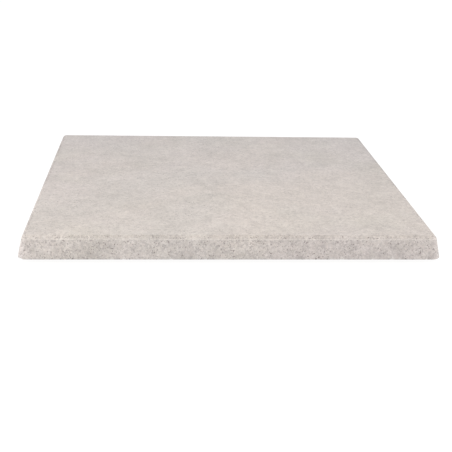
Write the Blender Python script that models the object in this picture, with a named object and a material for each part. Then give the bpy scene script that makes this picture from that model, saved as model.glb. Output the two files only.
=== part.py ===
"""A leatherworker's granite slab: a square of stone on four stick-on rubber feet.

Frame: +Z up, +X to the right, the front edge faces -Y.
The origin is on the bench, under the middle of the slab.
"""

import math

import bmesh
import bpy

# The stone, in metres.
slab_width = 0.457  # along X, across the widest line, just above the underside
slab_depth = 0.457  # along Y, across the same line
slab_thickness = 0.025
splay_angle = math.radians(12.7)  # the four sides lean in from the vertical towards the top
top_round = 0.005  # radius rolled over the top edge
corner_radius = 0.005  # plan radius of a corner where the planes of the top and the sides meet
under_ease = 0.001  # 45 degree chamfer that takes the sharpness off the lower edge

# The feet, in metres.
foot_diameter = 0.019  # where it sticks to the stone
foot_height = 0.004
foot_taper = 0.0015  # how much smaller the radius is at the bench
foot_rim_round = 0.0006
foot_inset = 0.045  # from the widest line of the stone in to a foot's middle
adhesive_thickness = 0.0005
adhesive_margin = 0.0003  # the film stops this far inside the foot's edge

# Colours, linear.
granite_colour = (0.64, 0.59, 0.55)
rubber_colour = (0.02, 0.02, 0.021)
adhesive_colour = (0.80, 0.79, 0.74)

# Fits and facets.
rest_gap = 0.0003  # between two pieces that touch
corner_facets = 8
top_round_facets = 6
rim_facets = 3
round_sides = 48
smooth_up_to = math.radians(35)

adhesive_z = foot_height + rest_gap
underside_z = adhesive_z + adhesive_thickness + rest_gap


def finish(name, colour, roughness):
    """A Principled material with one colour and roughness, and no metal in it."""
    material = bpy.data.materials.new(name)
    material.use_nodes = True
    shader = material.node_tree.nodes["Principled BSDF"]
    shader.inputs["Base Color"].default_value = (*colour, 1.0)
    shader.inputs["Roughness"].default_value = roughness
    shader.inputs["Metallic"].default_value = 0.0
    return material


def mesh_from(shape, name, material):
    """A mesh data block from a bmesh, shaded smooth except across its sharp edges."""
    bmesh.ops.recalc_face_normals(shape, faces=shape.faces)
    mesh = bpy.data.meshes.new(name)
    shape.to_mesh(mesh)
    shape.free()
    mesh.materials.append(material)
    mesh.shade_smooth()
    mesh.set_sharp_from_angle(angle=smooth_up_to)
    return mesh


def place(name, mesh, location):
    """One named object for one piece."""
    piece = bpy.data.objects.new(name, mesh)
    piece.location = location
    bpy.context.scene.collection.objects.link(piece)
    return piece


def rounded_outline(shape, half_width, half_depth, radius, z):
    """A rectangle with a quarter circle at each corner, anticlockwise from the +X +Y corner."""
    corners = ((1, 1, 0), (-1, 1, 90), (-1, -1, 180), (1, -1, 270))
    ring = []
    for side_x, side_y, start in corners:
        centre_x = side_x * (half_width - radius)
        centre_y = side_y * (half_depth - radius)
        for step in range(corner_facets + 1):
            turn = math.radians(start + 90 * step / corner_facets)
            x = centre_x + radius * math.cos(turn)
            y = centre_y + radius * math.sin(turn)
            ring.append(shape.verts.new((x, y, z)))
    edges = [shape.edges.new(ends) for ends in zip(ring, ring[1:] + ring[:1])]
    return ring, edges


def slab_profile():
    """The edge from the underside to the flat top, as (outset, height) points, and the widest outset.

    Outset is measured outwards from the line where the planes of the top and the side meet.
    """
    lean = math.tan(splay_angle)
    widest = (slab_thickness - under_ease) * lean
    points = [(widest - under_ease, 0.0), (widest, under_ease)]
    # The round touches the top and the leaning side this far from the line where their planes meet.
    setback = top_round * math.tan((math.pi / 2 - splay_angle) / 2)
    for step in range(top_round_facets + 1):
        turn = splay_angle + (math.pi / 2 - splay_angle) * step / top_round_facets
        outset = top_round * math.cos(turn) - setback
        height = slab_thickness - top_round + top_round * math.sin(turn)
        points.append((outset, height))
    return points, widest


def slab_mesh():
    """Rings along the profile, joined by bands of faces, with a flat face at either end."""
    profile, widest = slab_profile()
    shape = bmesh.new()
    rings = [
        rounded_outline(
            shape,
            slab_width / 2 - widest + outset,
            slab_depth / 2 - widest + outset,
            corner_radius + outset,
            height,
        )
        for outset, height in profile
    ]
    for (_, lower), (_, upper) in zip(rings, rings[1:]):
        bmesh.ops.bridge_loops(shape, edges=lower + upper)
    shape.faces.new(rings[0][0])
    shape.faces.new(rings[-1][0])
    return mesh_from(shape, "granite_slab", finish("honed_granite", granite_colour, roughness=0.5))


def foot_mesh():
    """A low tapered disc with its rim at the bench rounded, standing on its own origin."""
    shape = bmesh.new()
    disc = bmesh.ops.create_cone(
        shape,
        cap_ends=True,
        segments=round_sides,
        radius1=foot_diameter / 2 - foot_taper,
        radius2=foot_diameter / 2,
        depth=foot_height,
    )
    bmesh.ops.translate(shape, verts=disc["verts"], vec=(0, 0, foot_height / 2))
    rim = [edge for edge in shape.edges if all(vert.co.z < foot_height / 2 for vert in edge.verts)]
    bmesh.ops.bevel(
        shape,
        geom=rim,
        offset=foot_rim_round,
        offset_type="OFFSET",
        segments=rim_facets,
        profile=0.5,
        affect="EDGES",
    )
    return mesh_from(shape, "foot", finish("black_rubber", rubber_colour, roughness=0.65))


def adhesive_mesh():
    """A thin flat disc, standing on its own origin."""
    radius = foot_diameter / 2 - adhesive_margin
    shape = bmesh.new()
    disc = bmesh.ops.create_cone(
        shape,
        cap_ends=True,
        segments=round_sides,
        radius1=radius,
        radius2=radius,
        depth=adhesive_thickness,
    )
    bmesh.ops.translate(shape, verts=disc["verts"], vec=(0, 0, adhesive_thickness / 2))
    return mesh_from(shape, "adhesive", finish("adhesive_film", adhesive_colour, roughness=0.4))


def clear_scene():
    for old in list(bpy.data.objects):
        bpy.data.objects.remove(old, do_unlink=True)


clear_scene()
place("granite_slab", slab_mesh(), (0, 0, underside_z))

foot = foot_mesh()
adhesive = adhesive_mesh()
foot_x = slab_width / 2 - foot_inset
foot_y = slab_depth / 2 - foot_inset
for where, x, y in (
    ("front_left", -foot_x, -foot_y),
    ("front_right", foot_x, -foot_y),
    ("back_left", -foot_x, foot_y),
    ("back_right", foot_x, foot_y),
):
    place(f"foot_{where}", foot, (x, y, 0))
    place(f"adhesive_{where}", adhesive, (x, y, adhesive_z))
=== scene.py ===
import math

import bpy
import mathutils
import numpy as np
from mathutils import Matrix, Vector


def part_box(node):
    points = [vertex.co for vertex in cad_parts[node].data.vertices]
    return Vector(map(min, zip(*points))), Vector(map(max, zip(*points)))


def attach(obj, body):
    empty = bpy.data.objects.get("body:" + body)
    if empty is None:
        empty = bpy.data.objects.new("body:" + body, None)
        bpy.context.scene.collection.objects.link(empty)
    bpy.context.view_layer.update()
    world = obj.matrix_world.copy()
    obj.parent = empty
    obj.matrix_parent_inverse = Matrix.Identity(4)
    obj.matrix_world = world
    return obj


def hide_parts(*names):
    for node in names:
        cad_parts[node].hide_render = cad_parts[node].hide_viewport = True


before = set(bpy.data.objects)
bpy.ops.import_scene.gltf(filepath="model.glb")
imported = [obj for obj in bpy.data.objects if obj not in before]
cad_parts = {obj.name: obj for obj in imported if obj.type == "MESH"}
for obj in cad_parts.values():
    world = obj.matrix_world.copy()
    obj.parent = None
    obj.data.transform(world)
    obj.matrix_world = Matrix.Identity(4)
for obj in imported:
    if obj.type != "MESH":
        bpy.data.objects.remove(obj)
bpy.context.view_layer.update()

# THE SLAB
# One square of fine-grained granite, sawn from a block, its four sides ground to a lean and its top edge
# rolled over by hand. The top and the roll are honed, the sides are left ground, the underside as sawn.

slab_low, slab_high = (np.array(corner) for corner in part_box("granite_slab"))
half_width, half_depth, _ = (slab_high - slab_low) / 2
slab_thickness = slab_high[2] - slab_low[2]
lean = math.radians(12.7)  # of the sides, from the vertical
top_roll = 0.005  # radius of the rolled top edge
corner_radius = 0.005  # in plan, where the planes of the top and the sides meet
under_round = 0.001  # radius of the lower edge
under_ease = 0.001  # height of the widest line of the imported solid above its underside

side_steps = 444  # grid steps along one side where the grid is fine
corner_steps = 8  # of those, in the half corner at either end
wall_rows = 20
roll_rows = 10
under_rows = 5


def outline(half_x, half_y, radius, steps):
    """Points round a rectangle with round corners, anticlockwise, and the outward direction at each.

    Side k runs from the middle of one corner to the middle of the next: it turns through 45 degrees,
    goes straight, and turns through 45 degrees. A point is the corner's centre, or its shadow on the
    straight run, plus the radius times the outward direction.
    """
    share = 4 * np.arange(4 * steps) / (4 * steps)
    side = share.astype(int)
    along = share - side
    bend = corner_steps / side_steps
    turn = np.clip((along - 1 + bend) / bend, 0, 1) - np.clip((bend - along) / bend, 0, 1)
    turn = turn * math.pi / 4
    run = 2 * np.clip((along - bend) / (1 - 2 * bend), 0, 1) - 1
    normal = np.array([(0, -1), (1, 0), (0, 1), (-1, 0)])[side]
    tangent = np.array([(1, 0), (0, 1), (-1, 0), (0, -1)])[side]
    front_or_back = side % 2 == 0
    reach = np.where(front_or_back, half_y, half_x) - radius
    length = np.where(front_or_back, half_x, half_y) - radius
    outward = np.cos(turn)[:, None] * normal + np.sin(turn)[:, None] * tangent
    centre = normal * reach[:, None] + tangent * (run * length)[:, None]
    return centre + radius * outward, outward


def edge_section():
    """The slab's edge in section, from under it to its flat top: outset, height and tilt of the normal.

    A small arc turns from straight down to the lean of the side, a straight line climbs the side, and a
    larger arc turns from the lean to straight up. Outset is measured from where top and side planes meet.
    """
    foot_of_side = slab_thickness * math.tan(lean)
    under_centre = foot_of_side - under_round * (1 + math.sin(lean)) / math.cos(lean)
    roll_centre = -top_roll * (1 - math.sin(lean)) / math.cos(lean)
    under_tilt = np.linspace(-math.pi / 2, lean, under_rows + 1)
    roll_tilt = np.linspace(lean, math.pi / 2, roll_rows + 1)
    under_out = under_centre + under_round * np.cos(under_tilt)
    under_up = under_round + under_round * np.sin(under_tilt)
    roll_out = roll_centre + top_roll * np.cos(roll_tilt)
    roll_up = slab_thickness - top_roll + top_roll * np.sin(roll_tilt)
    climb = np.linspace(0, 1, wall_rows + 1)[1:-1]
    wall_out = under_out[-1] + climb * (roll_out[0] - under_out[-1])
    wall_up = under_up[-1] + climb * (roll_up[0] - under_up[-1])
    out = np.concatenate([under_out, wall_out, roll_out])
    up = np.concatenate([under_up, wall_up, roll_up])
    tilt = np.concatenate([under_tilt, np.full(len(climb), lean), roll_tilt])
    return out, up, tilt


def band_faces(first, steps, rows):
    """Quads of a grid that closes on itself, in rows 4 * steps long, from point number first up."""
    count = 4 * steps
    row = np.arange(rows)[:, None] * count + first
    this = np.arange(count)[None, :]
    following = (this + 1) % count
    quads = np.stack([row + this, row + following, row + count + following, row + count + this], -1)
    return quads.reshape(-1, 4)


def halving_faces(fine, coarse):
    """Triangles between a ring of points and a ring of half as many inside it."""
    even, odd = fine[0::2], fine[1::2]
    following = np.roll(coarse, -1)
    return np.concatenate([
        np.stack([even, odd, coarse], -1),
        np.stack([odd, np.roll(even, -1), following], -1),
        np.stack([coarse, odd, following], -1),
    ])


def patch_inside(ring, first):
    """A square patch of points stretched inside a closed ring, and its quads.

    The ring is four equal sides. Each inner point is the sum of its places between the front and the back
    sides and between the left and the right ones, less its place between the four corners.
    """
    steps = len(ring) // 4
    sides = np.concatenate([ring, ring[:1]])
    front, right = sides[: steps + 1], sides[steps : 2 * steps + 1]
    back, left = sides[2 * steps : 3 * steps + 1][::-1], sides[3 * steps :][::-1]
    u = np.linspace(0, 1, steps + 1)[None, :, None]
    v = np.linspace(0, 1, steps + 1)[:, None, None]
    across = (1 - v) * front[None] + v * back[None] + (1 - u) * left[:, None] + u * right[:, None]
    corners = (1 - v) * ((1 - u) * front[0] + u * front[-1]) + v * ((1 - u) * back[0] + u * back[-1])
    points = (across - corners)[1:-1, 1:-1].reshape(-1, 2)
    index = np.zeros((steps + 1, steps + 1), int)
    count = np.arange(4 * steps)
    index[0, :-1], index[:-1, -1] = count[:steps], count[steps : 2 * steps]
    index[-1, :0:-1], index[:0:-1, 0] = count[2 * steps : 3 * steps], count[3 * steps :]
    index += first[0]
    index[1:-1, 1:-1] = first[1] + np.arange((steps - 1) ** 2).reshape(steps - 1, steps - 1)
    quads = np.stack([index[:-1, :-1], index[:-1, 1:], index[1:, 1:], index[1:, :-1]], -1)
    return points, quads.reshape(-1, 4)


def ripple(points, shortest, longest, waves, seed):
    """Smooth unevenness from 0 to 1: plane waves of random direction, length and phase, added together."""
    draw = np.random.default_rng(seed)
    direction = draw.normal(size=(waves, 3))
    direction /= np.linalg.norm(direction, axis=1, keepdims=True)
    length = np.exp(draw.uniform(math.log(shortest), math.log(longest), waves))
    phase = draw.uniform(0, 2 * math.pi, waves)
    height = np.sin(points @ (2 * math.pi * direction / length[:, None]).T + phase).sum(1)
    return np.clip(0.5 + height / math.sqrt(waves) / 4, 0, 1)


def ease(low, high, value):
    """0 below low, 1 above high, and a smooth step between them."""
    t = np.clip((value - low) / (high - low), 0, 1)
    return t * t * (3 - 2 * t)


out, up, tilt = edge_section()
rows = len(out)
ring_size = 4 * side_steps
plane_x = half_width - (slab_thickness - under_ease) * math.tan(lean)
plane_y = half_depth - (slab_thickness - under_ease) * math.tan(lean)
bend_centre, outward = outline(plane_x, plane_y, corner_radius, side_steps)
bend_centre = bend_centre - corner_radius * outward

# The edge: the section carried round the outline, the corner's radius growing as the section goes out.
edge_xy = bend_centre[None] + (corner_radius + out)[:, None, None] * outward[None]
edge_z = np.repeat(up[:, None], ring_size, 1)
edge_normal = np.concatenate([
    np.cos(tilt)[:, None, None] * outward[None],
    np.repeat(np.sin(tilt)[:, None, None], ring_size, 1),
], -1)

# Inside the edge, above and below, the grid coarsens twice and a patch fills the middle.
flat_top, flat_under = plane_x + out[-1], plane_x + out[0]
depth_less_width = plane_y - plane_x
ring_margins = (0.0022, 0.0050)  # in from the edge of the flat
ring_radii = (0.0035, 0.0080)  # of the rings' corners


def flat_rings(half, z, first):
    """Two coarser rings and a patch on a flat face: points, triangles, quads and the first ring's start."""
    rings = [
        outline(half - margin, half - margin + depth_less_width, radius, side_steps // coarseness)[0]
        for margin, radius, coarseness in zip(ring_margins, ring_radii, (2, 4))
    ]
    starts = (first, first + len(rings[0]))
    inner = starts[1] + len(rings[1])
    points, quads = patch_inside(rings[1], (starts[1], inner))
    triangles = halving_faces(starts[0] + np.arange(len(rings[0])), starts[1] + np.arange(len(rings[1])))
    plan = np.concatenate([*rings, points])
    return np.column_stack([plan, np.full(len(plan), z)]), triangles, quads, starts[0]


edge_count = rows * ring_size
top_points, top_triangles, top_quads, top_first = flat_rings(flat_top, slab_thickness, edge_count)
under_start = edge_count + len(top_points)
under_points, under_triangles, under_quads, under_first = flat_rings(flat_under, 0.0, under_start)
top_ring = (rows - 1) * ring_size + np.arange(ring_size)
under_ring = np.arange(ring_size)
half_ring = np.arange(ring_size // 2)
top_triangles = np.concatenate([halving_faces(top_ring, top_first + half_ring), top_triangles])
under_triangles = np.concatenate([halving_faces(under_ring, under_first + half_ring), under_triangles])
under_triangles, under_quads = under_triangles[:, ::-1], under_quads[:, ::-1]

points = np.concatenate([
    np.column_stack([edge_xy.reshape(-1, 2), edge_z.ravel()]),
    top_points,
    under_points,
])
normals = np.concatenate([
    edge_normal.reshape(-1, 3),
    np.tile((0, 0, 1.0), (len(top_points), 1)),
    np.tile((0, 0, -1.0), (len(under_points), 1)),
])
is_top = normals[:, 2] > 0.999
is_under = normals[:, 2] < -0.999

# What the surface was given: honed is 1 on the top, a half on the roll and 0 on the ground sides, and
# sawn is 1 underneath. The roll was honed by hand down to its foot, so the line where that stops wanders a
# little. past_line is how far a point is from it, measured up over the roll and in across the top.
travel = np.concatenate([[0], np.cumsum(np.hypot(np.diff(out), np.diff(up)))])
travel -= travel[rows - 1 - roll_rows]
top_inset = np.minimum(
    flat_top - abs(top_points[:, 0]),
    flat_top + depth_less_width - abs(top_points[:, 1]),
)
past_line = np.concatenate([
    np.repeat(travel, ring_size),
    travel[-1] + top_inset,
    np.full(len(under_points), travel[0]),
])
line_wander = 0.0006
past_line += line_wander * (ripple(points, 0.004, 0.05, 24, seed=3) - 0.5)
line_half = 0.0003  # half the width of the change from ground to honed
crown_low, crown_high = travel[-1] - 0.0010, travel[-1] + 0.0006  # where the roll runs out into the top
honed = 0.5 * ease(-line_half, line_half, past_line) + 0.5 * ease(crown_low, crown_high, past_line)
sawn = 1 - ease(0.0001, 0.0006, points[:, 2])

# Relief, always cut into the stone: an uneven grind with pits on the sides, a hand-rolled edge, and saw
# sweeps underneath. Each depth is how far that one cuts at its deepest.
wall_grain_depth, wall_sway_depth, wall_pit_depth = 0.00007, 0.00012, 0.00016
roll_sway_depth, roll_grain_depth = 0.00008, 0.00002
saw_depth, under_grain_depth = 0.00012, 0.00003
grain = ripple(points, 0.0025, 0.006, 60, seed=11)
sway = ripple(points, 0.03, 0.12, 24, seed=12)
pits = ease(0.72, 0.92, ripple(points, 0.0025, 0.004, 60, seed=13))
saw_centre = np.array([0.31, -0.42])
saw_reach = np.linalg.norm(points[:, :2] - saw_centre, axis=1)
saw_sweep = 0.026  # from one pass of the saw to the next
saw_stroke = 0.0036  # from one tooth mark to the next
saw_beat = 0.6 + 0.4 * ripple(points, 0.02, 0.09, 16, seed=14)
saw_arcs = (0.5 + 0.5 * np.sin(2 * math.pi * saw_reach / saw_sweep)) * saw_beat
on_wall = (1 - ease(0.0, 0.5, honed)) * (1 - sawn)
on_roll = ease(0.0, 0.5, honed) * (1 - is_top)
cut = on_wall * (wall_grain_depth * grain + wall_sway_depth * sway + wall_pit_depth * pits)
cut += on_roll * (roll_sway_depth * sway + roll_grain_depth * grain)
cut += sawn * is_under * (saw_depth * saw_arcs + under_grain_depth * grain)


def chips(places, radii, depths):
    """How deep small knocks bite: for each knock a bowl, deepest at its middle and gone at its radius."""
    bite = np.zeros(len(points))
    near_edge = np.flatnonzero(~is_top & ~(points[:, 2] < 1e-7))
    gap = np.linalg.norm(points[near_edge, None] - places[None], axis=2) / radii
    bite[near_edge] = (depths * np.clip(1 - gap**2, 0, 1)).max(1)
    return bite


# Knocks from use: most are along the lower edge and a few are on the roll.
knocks = np.random.default_rng(21)
lower_count, upper_count = 70, 16
lower_ring = under_rows * ring_size + knocks.integers(0, ring_size, lower_count)
upper_ring = (rows - 1 - roll_rows // 2) * ring_size + knocks.integers(0, ring_size, upper_count)
places = points[np.concatenate([lower_ring, upper_ring])]
radii = np.concatenate([
    knocks.uniform(0.0012, 0.0030, lower_count),
    knocks.uniform(0.0010, 0.0018, upper_count),
])
depths = radii * knocks.uniform(0.12, 0.30, len(radii))
knocked = np.minimum(chips(places, radii, depths), under_round / 2)
broken = ease(0.00004, 0.00018, knocked)
points = points - normals * (cut + knocked)[:, None]
points[:, 2] += slab_low[2]

# The map: the top with its roll laid flat in one square, the four sides in strips, the underside smaller.
map_gap = 0.005
top_share = 0.74
wall_count = (rows - 1 - roll_rows) * ring_size
wall_quads, roll_quads = np.split(band_faces(0, side_steps, rows - 1), [wall_count])
laid_flat = corner_radius + out[-1] + top_roll * (math.pi / 2 - tilt)
flat_plan = np.concatenate([
    (bend_centre[None] + laid_flat[:, None, None] * outward[None]).reshape(-1, 2),
    top_points[:, :2],
    under_points[:, :2],
])
top_reach = np.array([flat_top, flat_top + depth_less_width]) + top_roll * (math.pi / 2 - lean)
under_plan = np.where(np.arange(len(points))[:, None] < edge_count, points[:, :2], flat_plan) * (-1, 1)
under_reach = np.array([flat_under, flat_under + depth_less_width]) + under_round


def in_square(plan, reach, low, high):
    """Plan places, from -reach to reach, moved into the map's square between low and high on both axes."""
    return low + (plan / reach + 1) / 2 * (high - low)


top_faces = (roll_quads, top_triangles, top_quads)
top_maps = [in_square(flat_plan[face], top_reach, map_gap, top_share - map_gap) for face in top_faces]
under_faces = (under_triangles, under_quads)
under_low, under_high = top_share + map_gap, 1 - map_gap
under_maps = [in_square(under_plan[face], under_reach, under_low, under_high) for face in under_faces]

# A strip's own axes: along the side, then up it. Two strips lie above the top's square, two beside it.
strip_long = top_share - 2 * map_gap
strip_wide = (1 - top_share - 3 * map_gap) / 2
lanes = top_share + map_gap + np.array([0, strip_wide + map_gap])
strip_start = np.array([
    (map_gap, lanes[0]),
    (lanes[0] + strip_wide, map_gap),
    (map_gap, lanes[1]),
    (lanes[1] + strip_wide, map_gap),
])
strip_along = strip_long * np.array([(1, 0), (0, 1), (1, 0), (0, 1)])
strip_up = strip_wide * np.array([(0, 1), (-1, 0), (0, 1), (-1, 0)])
climbed = 1 - travel / travel[0]
row_of, step_of = np.divmod(np.arange(len(wall_quads)), ring_size)
side_of, step_of = np.divmod(step_of, side_steps)
along = (step_of[:, None] + np.array([0, 1, 1, 0])) / side_steps
height = climbed[row_of[:, None] + np.array([0, 0, 1, 1])]
wall_maps = (
    strip_start[side_of][:, None]
    + along[..., None] * strip_along[side_of][:, None]
    + height[..., None] * strip_up[side_of][:, None]
)


def node(tree, kind, sockets=None, **settings):
    """One node with its settings, each input socket given a number, a colour or another's output."""
    made = tree.nodes.new(kind)
    for name, value in settings.items():
        setattr(made, name, value)
    for name, value in (sockets or {}).items():
        if isinstance(value, bpy.types.NodeSocket):
            tree.links.new(value, made.inputs[name])
        else:
            made.inputs[name].default_value = value
    return made


def maths(tree, operation, first, second=0.0):
    """first and second added, multiplied or otherwise put together."""
    return node(tree, "ShaderNodeMath", {0: first, 1: second}, operation=operation).outputs[0]


def mixed(tree, factor, first, second, blend_type="MIX"):
    """first turning into second as factor goes from 0 to 1."""
    sockets = {0: factor, 6: first, 7: second}
    made = node(tree, "ShaderNodeMix", sockets, data_type="RGBA", blend_type=blend_type)
    return made.outputs[2]


def spread(tree, value, low, high, to_low=0.0, to_high=1.0):
    """value between low and high, smoothly stretched to run from to_low to to_high."""
    sockets = {"Value": value, 1: low, 2: high, 3: to_low, 4: to_high}
    made = node(tree, "ShaderNodeMapRange", sockets, interpolation_type="SMOOTHSTEP")
    return made.outputs[0]


def cloud(tree, places, scale, detail=2.0):
    """Soft noise around 0.5 at places, with scale lumps to the millimetre."""
    sockets = {"Vector": places, "Scale": scale, "Detail": detail, "Roughness": 0.55}
    return node(tree, "ShaderNodeTexNoise", sockets)


def grains(tree, places, scale):
    """Cells like interlocking grains, scale to the millimetre: distance from the middle, and chances."""
    made = node(tree, "ShaderNodeTexVoronoi", {"Vector": places, "Scale": scale, "Randomness": 1.0})
    chance = node(tree, "ShaderNodeSeparateColor", {"Color": made.outputs["Color"]})
    return made.outputs["Distance"], chance.outputs


def in_millimetres(tree):
    """The place in the object's own frame, in millimetres."""
    place = node(tree, "ShaderNodeTexCoord").outputs["Object"]
    return node(tree, "ShaderNodeVectorMath", {0: place, "Scale": 1000.0}, operation="SCALE").outputs[0]


def blank_finish(name):
    """A material with nothing in it but its Principled shader."""
    material = bpy.data.materials.new(name)
    material.use_nodes = True
    return material, material.node_tree, material.node_tree.nodes["Principled BSDF"]


def flakes(tree, places, scale, density):
    """Dark mica flakes: whole grains of a net, scale to the millimetre, of which chance picks density."""
    _, chance = grains(tree, places, scale)
    return maths(tree, "LESS_THAN", chance[0], density)


def granite_finish():
    """Pale feldspar and smoky quartz grains, pinkish ones among them, peppered with dark mica."""
    material, tree, shader = blank_finish("granite")
    places = in_millimetres(tree)
    stir = node(tree, "ShaderNodeTexNoise", {"Vector": places, "Scale": 0.40, "Detail": 2.0})
    middle = {0: stir.outputs["Color"], 1: (0.5, 0.5, 0.5)}
    stir = node(tree, "ShaderNodeVectorMath", middle, operation="SUBTRACT").outputs[0]
    stir = node(tree, "ShaderNodeVectorMath", {0: stir, "Scale": 1.8}, operation="SCALE").outputs[0]
    stirred = node(tree, "ShaderNodeVectorMath", {0: places, 1: stir}, operation="ADD").outputs[0]
    past = node(tree, "ShaderNodeAttribute", attribute_name="past_line").outputs["Fac"]
    rolled = spread(tree, past, -line_half, line_half, 0.0, 0.5)
    honed_share = maths(tree, "ADD", rolled, spread(tree, past, crown_low, crown_high, 0.0, 0.5))
    sawn_share = node(tree, "ShaderNodeAttribute", attribute_name="sawn").outputs["Fac"]
    broken_share = node(tree, "ShaderNodeAttribute", attribute_name="broken").outputs["Fac"]

    # The minerals: each grain is smoky quartz, pink, white or cream feldspar or grey quartz, by chance.
    _, chance = grains(tree, stirred, 0.42)
    ramp = node(tree, "ShaderNodeValToRGB", {"Fac": chance[0]})
    ramp.color_ramp.interpolation = "CONSTANT"
    minerals = (
        (0.00, (0.428, 0.390, 0.381)),
        (0.15, (0.603, 0.544, 0.514)),
        (0.30, (0.658, 0.613, 0.587)),
        (0.62, (0.598, 0.555, 0.517)),
        (0.82, (0.497, 0.460, 0.445)),
    )
    for stop, (_, mineral) in zip((0, 1), minerals):
        ramp.color_ramp.elements[stop].color = (*mineral, 1)
    ramp.color_ramp.elements[1].position = minerals[1][0]
    for position, mineral in minerals[2:]:
        ramp.color_ramp.elements.new(position).color = (*mineral, 1)
    between_grains = (0.570, 0.529, 0.500, 1)
    clearness = spread(tree, honed_share, 0.5, 1.0, 0.46, 0.32)
    colour = mixed(tree, clearness, between_grains, ramp.outputs["Color"])

    # Smaller grains within, larger crystals, clots of both, and slow drifts of tone and warmth.
    _, small = grains(tree, stirred, 1.45)
    _, large = grains(tree, stirred, 0.27)
    knot = cloud(tree, places, 0.24, detail=2.0).outputs["Fac"]
    clot = cloud(tree, places, 0.075, detail=3.0).outputs["Fac"]
    drift = cloud(tree, places, 0.020, detail=3.0).outputs["Fac"]
    tone = 1.0
    # Each layer is off its middle by its own share, larger on the ground sides than on the honed top.
    layers = (
        (small[0], 0.26, 0.16),
        (large[0], 0.05, 0.07),
        (knot, 0.10, 0.16),
        (clot, 0.45, 0.30),
        (drift, 0.55, 0.28),
    )
    for layer, on_sides, on_top in layers:
        share = spread(tree, honed_share, 0.5, 1.0, on_sides, on_top)
        off_middle = maths(tree, "MULTIPLY", maths(tree, "SUBTRACT", layer, 0.5), share)
        tone = maths(tree, "ADD", tone, off_middle)
    rose = cloud(tree, places, 0.011, detail=2.0).outputs["Fac"]
    tint = mixed(tree, spread(tree, rose, 0.35, 0.65), (0.999, 1.000, 1.002, 1), (1.006, 0.991, 1.002, 1))
    colour = mixed(tree, 1.0, colour, tint, "MULTIPLY")
    warmth = cloud(tree, places, 0.007, detail=2.0).outputs["Fac"]
    tint = mixed(tree, spread(tree, warmth, 0.35, 0.65), (1.0, 1.0, 1.010, 1), (1.0, 1.0, 0.990, 1))
    colour = mixed(tree, 1.0, colour, tint, "MULTIPLY")

    # Dark mica in loose clusters, with a few larger flakes.
    cluster = cloud(tree, places, 0.06, detail=2.0).outputs["Fac"]
    mica = flakes(tree, stirred, 1.25, spread(tree, cluster, 0.32, 0.68, 0.006, 0.085))
    large_mica = flakes(tree, stirred, 0.62, spread(tree, cluster, 0.32, 0.68, 0.001, 0.009))
    mica = maths(tree, "MAXIMUM", mica, large_mica)
    strength = maths(tree, "MULTIPLY", spread(tree, honed_share, 0.5, 1.0, 0.72, 0.46), mica)
    strength = maths(tree, "MULTIPLY", spread(tree, sawn_share, 0.0, 1.0, 1.0, 0.5), strength)
    colour = mixed(tree, strength, colour, (0.160, 0.132, 0.128, 1))

    # A thin pale line is painted where the honing stops: a painted highlight along the foot of the roll.
    line = spread(tree, past, -0.0003, 0.0001)
    line = maths(tree, "MULTIPLY", line, spread(tree, past, 0.0006, 0.0018, 1.0, 0.0))
    # Painted highlight: a pale colour mixed in along the foot of the roll.
    colour = mixed(tree, maths(tree, "MULTIPLY", line, 0.58), colour, (0.71, 0.662, 0.622, 1))

    # Ground sides are painted a shade deeper than the honed top, as painted shade for the less lit sides, and
    # painted darker towards their foot, as painted shade near the table; sawn stone is dusty and a fresh
    # break is pale.
    # Painted shade: the ground sides, and the roll in part, are painted darker than the honed top.
    tone = maths(tree, "MULTIPLY", tone, spread(tree, honed_share, 0.4, 1.0, 0.905, 1.0))
    # Painted shade: the sides are painted darker over the last 12 mm above their lower edge.
    tone = maths(tree, "MULTIPLY", tone, spread(tree, past, travel[0], travel[0] + 0.012, 0.955, 1.0))
    shade = node(tree, "ShaderNodeCombineColor", {"Red": tone, "Green": tone, "Blue": tone}).outputs[0]
    colour = mixed(tree, 1.0, colour, shade, "MULTIPLY")
    saw_from = tuple(1000 * saw_centre) + (0.0,)
    reach = node(tree, "ShaderNodeVectorMath", {0: places, 1: saw_from}, operation="DISTANCE")
    reach = maths(tree, "ADD", reach.outputs["Value"], spread(tree, knot, 0.0, 1.0, -1.0, 1.0))
    stroke = maths(tree, "SINE", maths(tree, "MULTIPLY", reach, 2 * math.pi / (1000 * saw_stroke)))
    stroke = maths(tree, "MULTIPLY", stroke, spread(tree, clot, 0.40, 0.62))
    scored = maths(tree, "MULTIPLY", spread(tree, stroke, -1.0, 1.0), sawn_share)
    dust = maths(tree, "MULTIPLY", sawn_share, 0.22)
    dust = maths(tree, "ADD", dust, maths(tree, "MULTIPLY", scored, 0.34))
    colour = mixed(tree, dust, colour, (0.57, 0.545, 0.52, 1))
    colour = mixed(tree, maths(tree, "MULTIPLY", broken_share, 0.4), colour, (0.68, 0.65, 0.625, 1))
    tree.links.new(colour, shader.inputs["Base Color"])

    # Honed stone is silky, ground stone duller, sawn or broken stone dull, and mica a little glossier.
    speckle = cloud(tree, places, 0.8, detail=3.0).outputs["Fac"]
    handled = cloud(tree, places, 0.015, detail=4.0).outputs["Fac"]
    rough = spread(tree, honed_share, 0.5, 1.0, 0.62, 0.44)
    dull = maths(tree, "MAXIMUM", sawn_share, broken_share)
    rough = maths(tree, "ADD", rough, maths(tree, "MULTIPLY", dull, 0.14))
    rough = maths(tree, "ADD", rough, spread(tree, speckle, 0.3, 0.7, -0.04, 0.04))
    rough = maths(tree, "ADD", rough, spread(tree, handled, 0.35, 0.65, -0.04, 0.04))
    rough = maths(tree, "SUBTRACT", rough, maths(tree, "MULTIPLY", mica, 0.12))
    tree.links.new(rough, shader.inputs["Roughness"])

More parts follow.
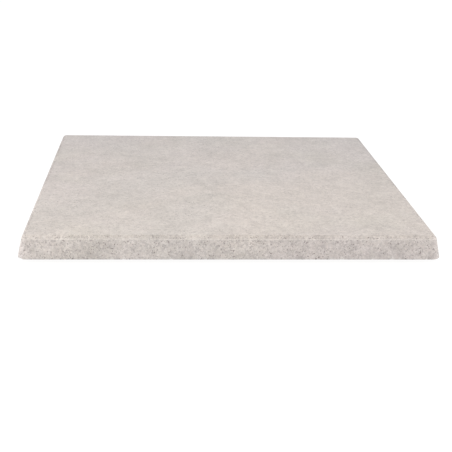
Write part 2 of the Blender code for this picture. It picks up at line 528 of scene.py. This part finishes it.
    # Grain by grain the tool left the surface a little high or low, and plucked mica out of the sides.
    relief = maths(tree, "MULTIPLY", small[1], 0.4)
    relief = maths(tree, "ADD", relief, maths(tree, "MULTIPLY", speckle, 0.6))
    relief = maths(tree, "SUBTRACT", relief, maths(tree, "MULTIPLY", mica, 0.9))
    relief = maths(tree, "SUBTRACT", relief, maths(tree, "MULTIPLY", scored, 3.0))
    bite = spread(tree, honed_share, 0.5, 1.0, 0.60, 0.12)
    bump = node(tree, "ShaderNodeBump", {"Height": relief, "Strength": bite, "Distance": 0.0001})
    tree.links.new(bump.outputs[0], shader.inputs["Normal"])
    return material


def build_piece(name, points, faces, material, maps=None, values=None):
    """An object at the origin from arrays: points, faces of several sizes, corners' map places, values."""
    mesh = bpy.data.meshes.new(name)
    sizes = np.concatenate([np.full(len(f), f.shape[1]) for f in faces])
    corners = np.concatenate([f.ravel() for f in faces])
    mesh.vertices.add(len(points))
    mesh.vertices.foreach_set("co", points.astype(np.float32).ravel())
    mesh.loops.add(len(corners))
    mesh.loops.foreach_set("vertex_index", corners.astype(np.int32))
    mesh.polygons.add(len(sizes))
    mesh.polygons.foreach_set("loop_start", (np.cumsum(sizes) - sizes).astype(np.int32))
    if maps is not None:
        layer = mesh.uv_layers.new(name="OFBake")
        layer.uv.foreach_set("vector", np.concatenate([m.ravel() for m in maps]).astype(np.float32))
    for label, value in (values or {}).items():
        attribute = mesh.attributes.new(label, "FLOAT", "POINT")
        attribute.data.foreach_set("value", value.astype(np.float32))
    mesh.update(calc_edges=True)
    mesh.shade_smooth()
    mesh.materials.append(material)
    piece = bpy.data.objects.new(name, mesh)
    bpy.context.scene.collection.objects.link(piece)
    return piece


slab = build_piece(
    "slab",
    points,
    [wall_quads, *top_faces, *under_faces],
    granite_finish(),
    maps=[wall_maps, *top_maps, *under_maps],
    values={"past_line": past_line, "sawn": sawn, "broken": broken},
)
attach(slab, "root")
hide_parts("granite_slab")

# THE FEET
# Four low bumpers moulded in black rubber, wider at the stone than at the bench, with a rolled rim and
# the small pip that the mould's gate leaves in a shallow dish underneath. Each sticks on by its own film.

foot_names = ("front_left", "front_right", "back_left", "back_right")
foot_sides = 96
foot_taper = 0.0015
rim_roll = 0.0009
dish_radius = 0.0030
dish_depth = 0.0004
pip_radius = 0.0008
pip_height = 0.0003
side_hollow = 0.00035
lip_height = 0.0003


def turned(profile, sides, middle):
    """A profile of (radius, height) carried round an upright axis through middle, its ends closed by fans."""
    turn = 2 * math.pi * np.arange(sides) / sides
    ring = np.stack([np.cos(turn), np.sin(turn)], -1)
    plan = profile[:, 0, None, None] * ring[None]
    height = np.repeat(profile[:, 1, None, None], sides, 1)
    walls = np.concatenate([plan, height], -1).reshape(-1, 3)
    ends = np.array([(0, 0, profile[0, 1]), (0, 0, profile[-1, 1])])
    this = np.arange(sides)
    following = np.roll(this, -1)
    row = np.arange(len(profile) - 1)[:, None] * sides
    quads = np.stack([row + this, row + following, row + sides + following, row + sides + this], -1)
    last = (len(profile) - 1) * sides
    tip = np.full(sides, len(walls))
    fans = np.concatenate([
        np.stack([following, this, tip], -1),
        np.stack([last + this, last + following, tip + 1], -1),
    ])
    return np.concatenate([walls, ends]) + middle, quads.reshape(-1, 4), fans


def foot_profile(low, high, radius):
    """Out from the pip, down its dish to the tread, round the rim, up the hollow side, in over the top."""
    base_radius = radius - foot_taper
    across = np.linspace(0.0001, dish_radius, 14)
    dish = dish_depth * (0.5 + 0.5 * np.cos(math.pi * across / dish_radius))
    pip = pip_height * np.clip(1 - (across / pip_radius) ** 2, 0, 1) ** 0.5
    under = np.column_stack([across, dish - pip])
    turn = np.linspace(-math.pi / 2, 0.1, 8)
    rim_out = base_radius - rim_roll + rim_roll * np.cos(turn)
    rim = np.column_stack([rim_out, rim_roll * (1 + np.sin(turn))])
    share = np.linspace(0, 1, 10)[1:]
    start, stop = rim[-1], np.array([radius - 0.0002, high - low - lip_height])
    hollow = -side_hollow * np.sin(math.pi * share)
    side = start + share[:, None] * (stop - start) + np.column_stack([hollow, np.zeros(len(share))])
    lip = np.array([(radius, high - low - 0.0002), (radius - 0.0001, high - low)])
    inner = np.column_stack([np.linspace(radius - 0.001, 0.001, 5), np.full(5, high - low)])
    return np.concatenate([under, rim, side, lip, inner]) + (0, low)


def rubber_finish():
    """Black moulded rubber: matt, faintly grained, with a little stone dust on it."""
    material, tree, shader = blank_finish("foot_rubber")
    places = in_millimetres(tree)
    skin = cloud(tree, places, 3.0, detail=4.0).outputs["Fac"]
    dust = cloud(tree, places, 0.35, detail=5.0).outputs["Fac"]
    colour = mixed(tree, spread(tree, skin, 0.3, 0.7), (0.014, 0.014, 0.015, 1), (0.026, 0.026, 0.027, 1))
    colour = mixed(tree, spread(tree, dust, 0.55, 0.8, 0.0, 0.22), colour, (0.16, 0.155, 0.15, 1))
    tree.links.new(colour, shader.inputs["Base Color"])
    tree.links.new(spread(tree, skin, 0.3, 0.7, 0.56, 0.72), shader.inputs["Roughness"])
    bump = node(tree, "ShaderNodeBump", {"Height": skin, "Strength": 0.35, "Distance": 0.0001})
    tree.links.new(bump.outputs[0], shader.inputs["Normal"])
    return material


rubber = rubber_finish()
for name in foot_names:
    low, high = (np.array(corner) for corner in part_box(f"foot_{name}"))
    middle = np.append((low + high)[:2] / 2, 0.0)
    radius = (high - low)[0] / 2
    foot_points, foot_quads, foot_fans = turned(foot_profile(low[2], high[2], radius), foot_sides, middle)
    foot = build_piece(f"rubber_foot_{name}", foot_points, [foot_quads, foot_fans], rubber)
    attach(foot, "root")
    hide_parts(f"foot_{name}")

# THE ADHESIVE FILMS
# A disc of milky acrylic adhesive on each foot, pressed out a little unevenly between rubber and stone.

film_sides = 96
film_squeeze = 0.00025  # how far the rim bulges
film_uneven = 0.03  # the share of its radius that it fell short where it was pressed least


def film_finish():
    """Milky acrylic, slightly yellow, smooth, with fine bubbles in it."""
    material, tree, shader = blank_finish("adhesive_film")
    places = in_millimetres(tree)
    bubbles, _ = grains(tree, places, 2.2)
    colour = mixed(tree, spread(tree, bubbles, 0.1, 0.6), (0.86, 0.85, 0.80, 1), (0.74, 0.72, 0.64, 1))
    tree.links.new(colour, shader.inputs["Base Color"])
    tree.links.new(spread(tree, bubbles, 0.1, 0.6, 0.22, 0.38), shader.inputs["Roughness"])
    bump = node(tree, "ShaderNodeBump", {"Height": bubbles, "Strength": 0.2, "Distance": 0.0001})
    tree.links.new(bump.outputs[0], shader.inputs["Normal"])
    return material


film = film_finish()
for number, name in enumerate(foot_names):
    low, high = (np.array(corner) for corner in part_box(f"adhesive_{name}"))
    middle = np.append((low + high)[:2] / 2, 0.0)
    radius = (high - low)[0] / 2
    share = np.linspace(0, math.pi, 9)
    bulge = np.column_stack([
        radius - film_squeeze + film_squeeze * np.sin(share),
        (low + high)[2] / 2 - (high - low)[2] / 2 * np.cos(share),
    ])
    film_points, film_quads, film_fans = turned(bulge, film_sides, middle)
    squeeze = ripple(film_points + number, 0.004, 0.012, 12, seed=31)
    film_points[:, :2] -= (film_points - middle)[:, :2] * (film_uneven * squeeze)[:, None]
    disc = build_piece(f"film_{name}", film_points, [film_quads, film_fans], film)
    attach(disc, "root")
    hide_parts(f"adhesive_{name}")

# THE STUDIO
# A wide pale table, lit a little from within so that nothing casts a hard shadow, clear from beneath, under
# a soft white sky. A large warm lamp hangs above the front and a small one stands at the left. A low white
# one at each side lights the upright corners, and isn't mirrored in the honed top.

table_half = 20.0
table_mesh = bpy.data.meshes.new("pale_table")
table_corners = table_half * np.array([(-1, -1, 0), (1, -1, 0), (1, 1, 0), (-1, 1, 0)])
table_mesh.from_pydata(table_corners.tolist(), [], [(0, 1, 2, 3)])
table_finish, table_tree, table_shader = blank_finish("pale_table")
table_shader.inputs["Base Color"].default_value = (0.20, 0.20, 0.20, 1)
table_shader.inputs["Roughness"].default_value = 0.9
table_shader.inputs["Specular IOR Level"].default_value = 0.1
table_shader.inputs["Emission Color"].default_value = (1, 1, 1, 1)
table_shader.inputs["Emission Strength"].default_value = 0.86
table_below = node(table_tree, "ShaderNodeNewGeometry").outputs["Backfacing"]
clear = node(table_tree, "ShaderNodeBsdfTransparent").outputs[0]
table_sides = {0: table_below, 1: table_shader.outputs[0], 2: clear}
table_mix = node(table_tree, "ShaderNodeMixShader", table_sides)
table_tree.links.new(table_mix.outputs[0], table_tree.nodes["Material Output"].inputs["Surface"])
table_mesh.materials.append(table_finish)
table = bpy.data.objects.new("pale_table", table_mesh)
bpy.context.scene.collection.objects.link(table)

sky = bpy.data.worlds.new("white_sky")
sky.use_nodes = True
direction = node(sky.node_tree, "ShaderNodeTexCoord").outputs["Generated"]
upward = node(sky.node_tree, "ShaderNodeSeparateXYZ", {0: direction}).outputs["Z"]
sky_at_horizon, sky_overhead = 0.745, 0.964
sky_range = {0: upward, 1: 0.0, 2: 1.0, 3: sky_at_horizon, 4: sky_overhead}
brightness = node(sky.node_tree, "ShaderNodeMapRange", sky_range).outputs[0]
sky_light = sky.node_tree.nodes["Background"]
sky_light.inputs["Color"].default_value = (0.98, 0.98, 1.0, 1)
sky.node_tree.links.new(brightness, sky_light.inputs["Strength"])
bpy.context.scene.world = sky


def soft_lamp(name, place, target, width, depth, watts, colour):
    """A rectangular lamp of one colour at place, facing target."""
    lamp = bpy.data.lights.new(name, "AREA")
    lamp.shape = "RECTANGLE"
    lamp.size = width
    lamp.size_y = depth
    lamp.energy = watts
    lamp.color = colour
    holder = bpy.data.objects.new(name, lamp)
    holder.location = place
    facing = mathutils.Vector(target) - mathutils.Vector(place)
    holder.rotation_euler = facing.to_track_quat("-Z", "Y").to_euler()
    bpy.context.scene.collection.objects.link(holder)
    return holder


warm, white = (1.0, 0.92, 0.67), (1.0, 1.0, 1.0)
soft_lamp("lamp_above", (-0.08, -0.30, 0.58), (-0.08, -0.30, 0.0), 1.2, 0.35, 1.35, warm)
soft_lamp("lamp_left", (-0.45, -0.75, 0.35), (-0.2, -0.2, 0.0), 0.4, 0.4, 0.31, warm)
for side in (-1, 1):
    place, target = (side * 0.55, -0.32, 0.055), (0.0, -0.32, 0.03)
    side_lamp = soft_lamp(f"lamp_side_{side}", place, target, 0.5, 0.10, 0.75, white)
    side_lamp.visible_glossy = False

# The camera stands a little left of the middle and looks down about 19 degrees, turned slightly right.
camera_place = (-0.07280, -1.17191, 0.37367)
camera_yaw = 0.06921
camera_pitch = 0.33586
camera_roll = 0.02540

camera_data = bpy.data.cameras.new("camera")
camera_data.sensor_width = 36.0
camera_data.lens = 75.353
camera_data.clip_start = 0.05
camera = bpy.data.objects.new("camera", camera_data)
forward = mathutils.Vector((
    math.sin(camera_yaw) * math.cos(camera_pitch),
    math.cos(camera_yaw) * math.cos(camera_pitch),
    -math.sin(camera_pitch),
))
level = mathutils.Vector((math.cos(camera_yaw), -math.sin(camera_yaw), 0))
above = level.cross(forward)
right = math.cos(camera_roll) * level + math.sin(camera_roll) * above
above = right.cross(forward)
camera.matrix_world = mathutils.Matrix((
    (right.x, above.x, -forward.x, camera_place[0]),
    (right.y, above.y, -forward.y, camera_place[1]),
    (right.z, above.z, -forward.z, camera_place[2]),
    (0, 0, 0, 1),
))
bpy.context.scene.collection.objects.link(camera)
bpy.context.scene.camera = camera
bpy.context.scene.view_settings.view_transform = "Standard"
